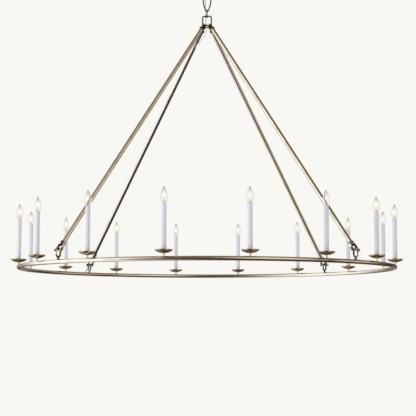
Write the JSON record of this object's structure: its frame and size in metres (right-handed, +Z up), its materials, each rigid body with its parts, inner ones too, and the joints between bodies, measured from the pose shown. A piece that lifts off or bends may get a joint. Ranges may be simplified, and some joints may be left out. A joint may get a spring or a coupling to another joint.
{
  "type": "chandelier",
  "caption": "Large single-ring chandelier: candle lights with drip pans and flame bulbs on a tubular metal ring, hung by sloping rods from a stirrup, chain and ceiling canopy.",
  "frame": {"origin": "middle of the mounting strap's upper face, on the ceiling plane, over the ring's centre", "axes": "+Z up, -Y towards the side the picture shows, +X to the right of it"},
  "size_m": [1.8472, 1.8472, 1.496],
  "materials": {
    "aged_brass": "burnished, brown in the recesses",
    "dark_bronze": "darkened",
    "plated_steel": "zinc plated",
    "sleeve_white": "satin white",
    "holder_black": "moulded",
    "clear_glass": "clear",
    "cord_grey": "clear silver sheath",
    "lead_brown": "smooth sheath"
  },
  "bodies": {
    "ceiling": {"mounting_strap": "plated_steel", "threaded_stem": "plated_steel", "stem_nut": "plated_steel", "canopy_loop": "aged_brass", "supply_cord_upper": "cord_grey"},
    "canopy": {"canopy": "aged_brass", "loop_collar": "aged_brass"},
    "long_link": {"long_link": "aged_brass", "supply_cord_middle": "cord_grey"},
    "connecting_link": {"connecting_link": "aged_brass"},
    "frame": {"hanging_stirrup": "aged_brass", "rod_far_right": "aged_brass", "rod_far_left": "aged_brass", "rod_near_left": "aged_brass", "rod_near_right": "aged_brass", "rod_top_eyes": "aged_brass", "rod_collars": "aged_brass", "rod_yokes": "dark_bronze", "yoke_pins": "dark_bronze", "pin_nuts": "dark_bronze", "ring_eyes": "aged_brass", "ring_tube": "aged_brass", "candle_necks": "aged_brass", "drip_pans": "aged_brass", "lamp_holders": "holder_black", "candle_sleeves": "sleeve_white", "ring_lead": "lead_brown", "supply_cord_lower": "cord_grey"},
    "bulb_01": {"bulb_01": "clear_glass"},
    "bulb_02": {"bulb_02": "clear_glass"},
    "bulb_03": {"bulb_03": "clear_glass"},
    "bulb_04": {"bulb_04": "clear_glass"},
    "bulb_05": {"bulb_05": "clear_glass"},
    "bulb_06": {"bulb_06": "clear_glass"},
    "bulb_07": {"bulb_07": "clear_glass"},
    "bulb_08": {"bulb_08": "clear_glass"},
    "bulb_09": {"bulb_09": "clear_glass"},
    "bulb_10": {"bulb_10": "clear_glass"},
    "bulb_11": {"bulb_11": "clear_glass"},
    "bulb_12": {"bulb_12": "clear_glass"},
    "bulb_13": {"bulb_13": "clear_glass"},
    "bulb_14": {"bulb_14": "clear_glass"},
    "bulb_15": {"bulb_15": "clear_glass"},
    "bulb_16": {"bulb_16": "clear_glass"}
  },
  "joints": [
    {"name": "canopy_drop", "type": "slide", "parent": "ceiling", "child": "canopy", "axis": [0, 0, -1], "range_m": [0, 0.02]},
    {"name": "link_side_swing", "type": "hinge", "parent": "ceiling", "child": "long_link", "pos_m": [0, 0, -0.08], "axis": [0, 1, 0], "range_deg": [-20, 20], "deforming": ["supply_cord_upper"]},
    {"name": "connector_front_swing", "type": "hinge", "parent": "long_link", "child": "connecting_link", "pos_m": [0, 0, -0.2035], "axis": [1, 0, 0], "range_deg": [-20, 20], "deforming": ["supply_cord_middle"]},
    {"name": "frame_side_swing", "type": "hinge", "parent": "connecting_link", "child": "frame", "pos_m": [0, 0, -0.236], "axis": [0, 1, 0], "range_deg": [-20, 20], "deforming": ["supply_cord_lower"]},
    {"name": "bulb_01_lift", "type": "slide", "parent": "frame", "child": "bulb_01", "axis": [0, 0, 1], "range_m": [0, 0.032]},
    {"name": "bulb_02_lift", "type": "slide", "parent": "frame", "child": "bulb_02", "axis": [0, 0, 1], "range_m": [0, 0.032]},
    {"name": "bulb_03_lift", "type": "slide", "parent": "frame", "child": "bulb_03", "axis": [0, 0, 1], "range_m": [0, 0.032]},
    {"name": "bulb_04_lift", "type": "slide", "parent": "frame", "child": "bulb_04", "axis": [0, 0, 1], "range_m": [0, 0.032]},
    {"name": "bulb_05_lift", "type": "slide", "parent": "frame", "child": "bulb_05", "axis": [0, 0, 1], "range_m": [0, 0.032]},
    {"name": "bulb_06_lift", "type": "slide", "parent": "frame", "child": "bulb_06", "axis": [0, 0, 1], "range_m": [0, 0.032]},
    {"name": "bulb_07_lift", "type": "slide", "parent": "frame", "child": "bulb_07", "axis": [0, 0, 1], "range_m": [0, 0.032]},
    {"name": "bulb_08_lift", "type": "slide", "parent": "frame", "child": "bulb_08", "axis": [0, 0, 1], "range_m": [0, 0.032]},
    {"name": "bulb_09_lift", "type": "slide", "parent": "frame", "child": "bulb_09", "axis": [0, 0, 1], "range_m": [0, 0.032]},
    {"name": "bulb_10_lift", "type": "slide", "parent": "frame", "child": "bulb_10", "axis": [0, 0, 1], "range_m": [0, 0.032]},
    {"name": "bulb_11_lift", "type": "slide", "parent": "frame", "child": "bulb_11", "axis": [0, 0, 1], "range_m": [0, 0.032]},
    {"name": "bulb_12_lift", "type": "slide", "parent": "frame", "child": "bulb_12", "axis": [0, 0, 1], "range_m": [0, 0.032]},
    {"name": "bulb_13_lift", "type": "slide", "parent": "frame", "child": "bulb_13", "axis": [0, 0, 1], "range_m": [0, 0.032]},
    {"name": "bulb_14_lift", "type": "slide", "parent": "frame", "child": "bulb_14", "axis": [0, 0, 1], "range_m": [0, 0.032]},
    {"name": "bulb_15_lift", "type": "slide", "parent": "frame", "child": "bulb_15", "axis": [0, 0, 1], "range_m": [0, 0.032]},
    {"name": "bulb_16_lift", "type": "slide", "parent": "frame", "child": "bulb_16", "axis": [0, 0, 1], "range_m": [0, 0.032]}
  ]
}
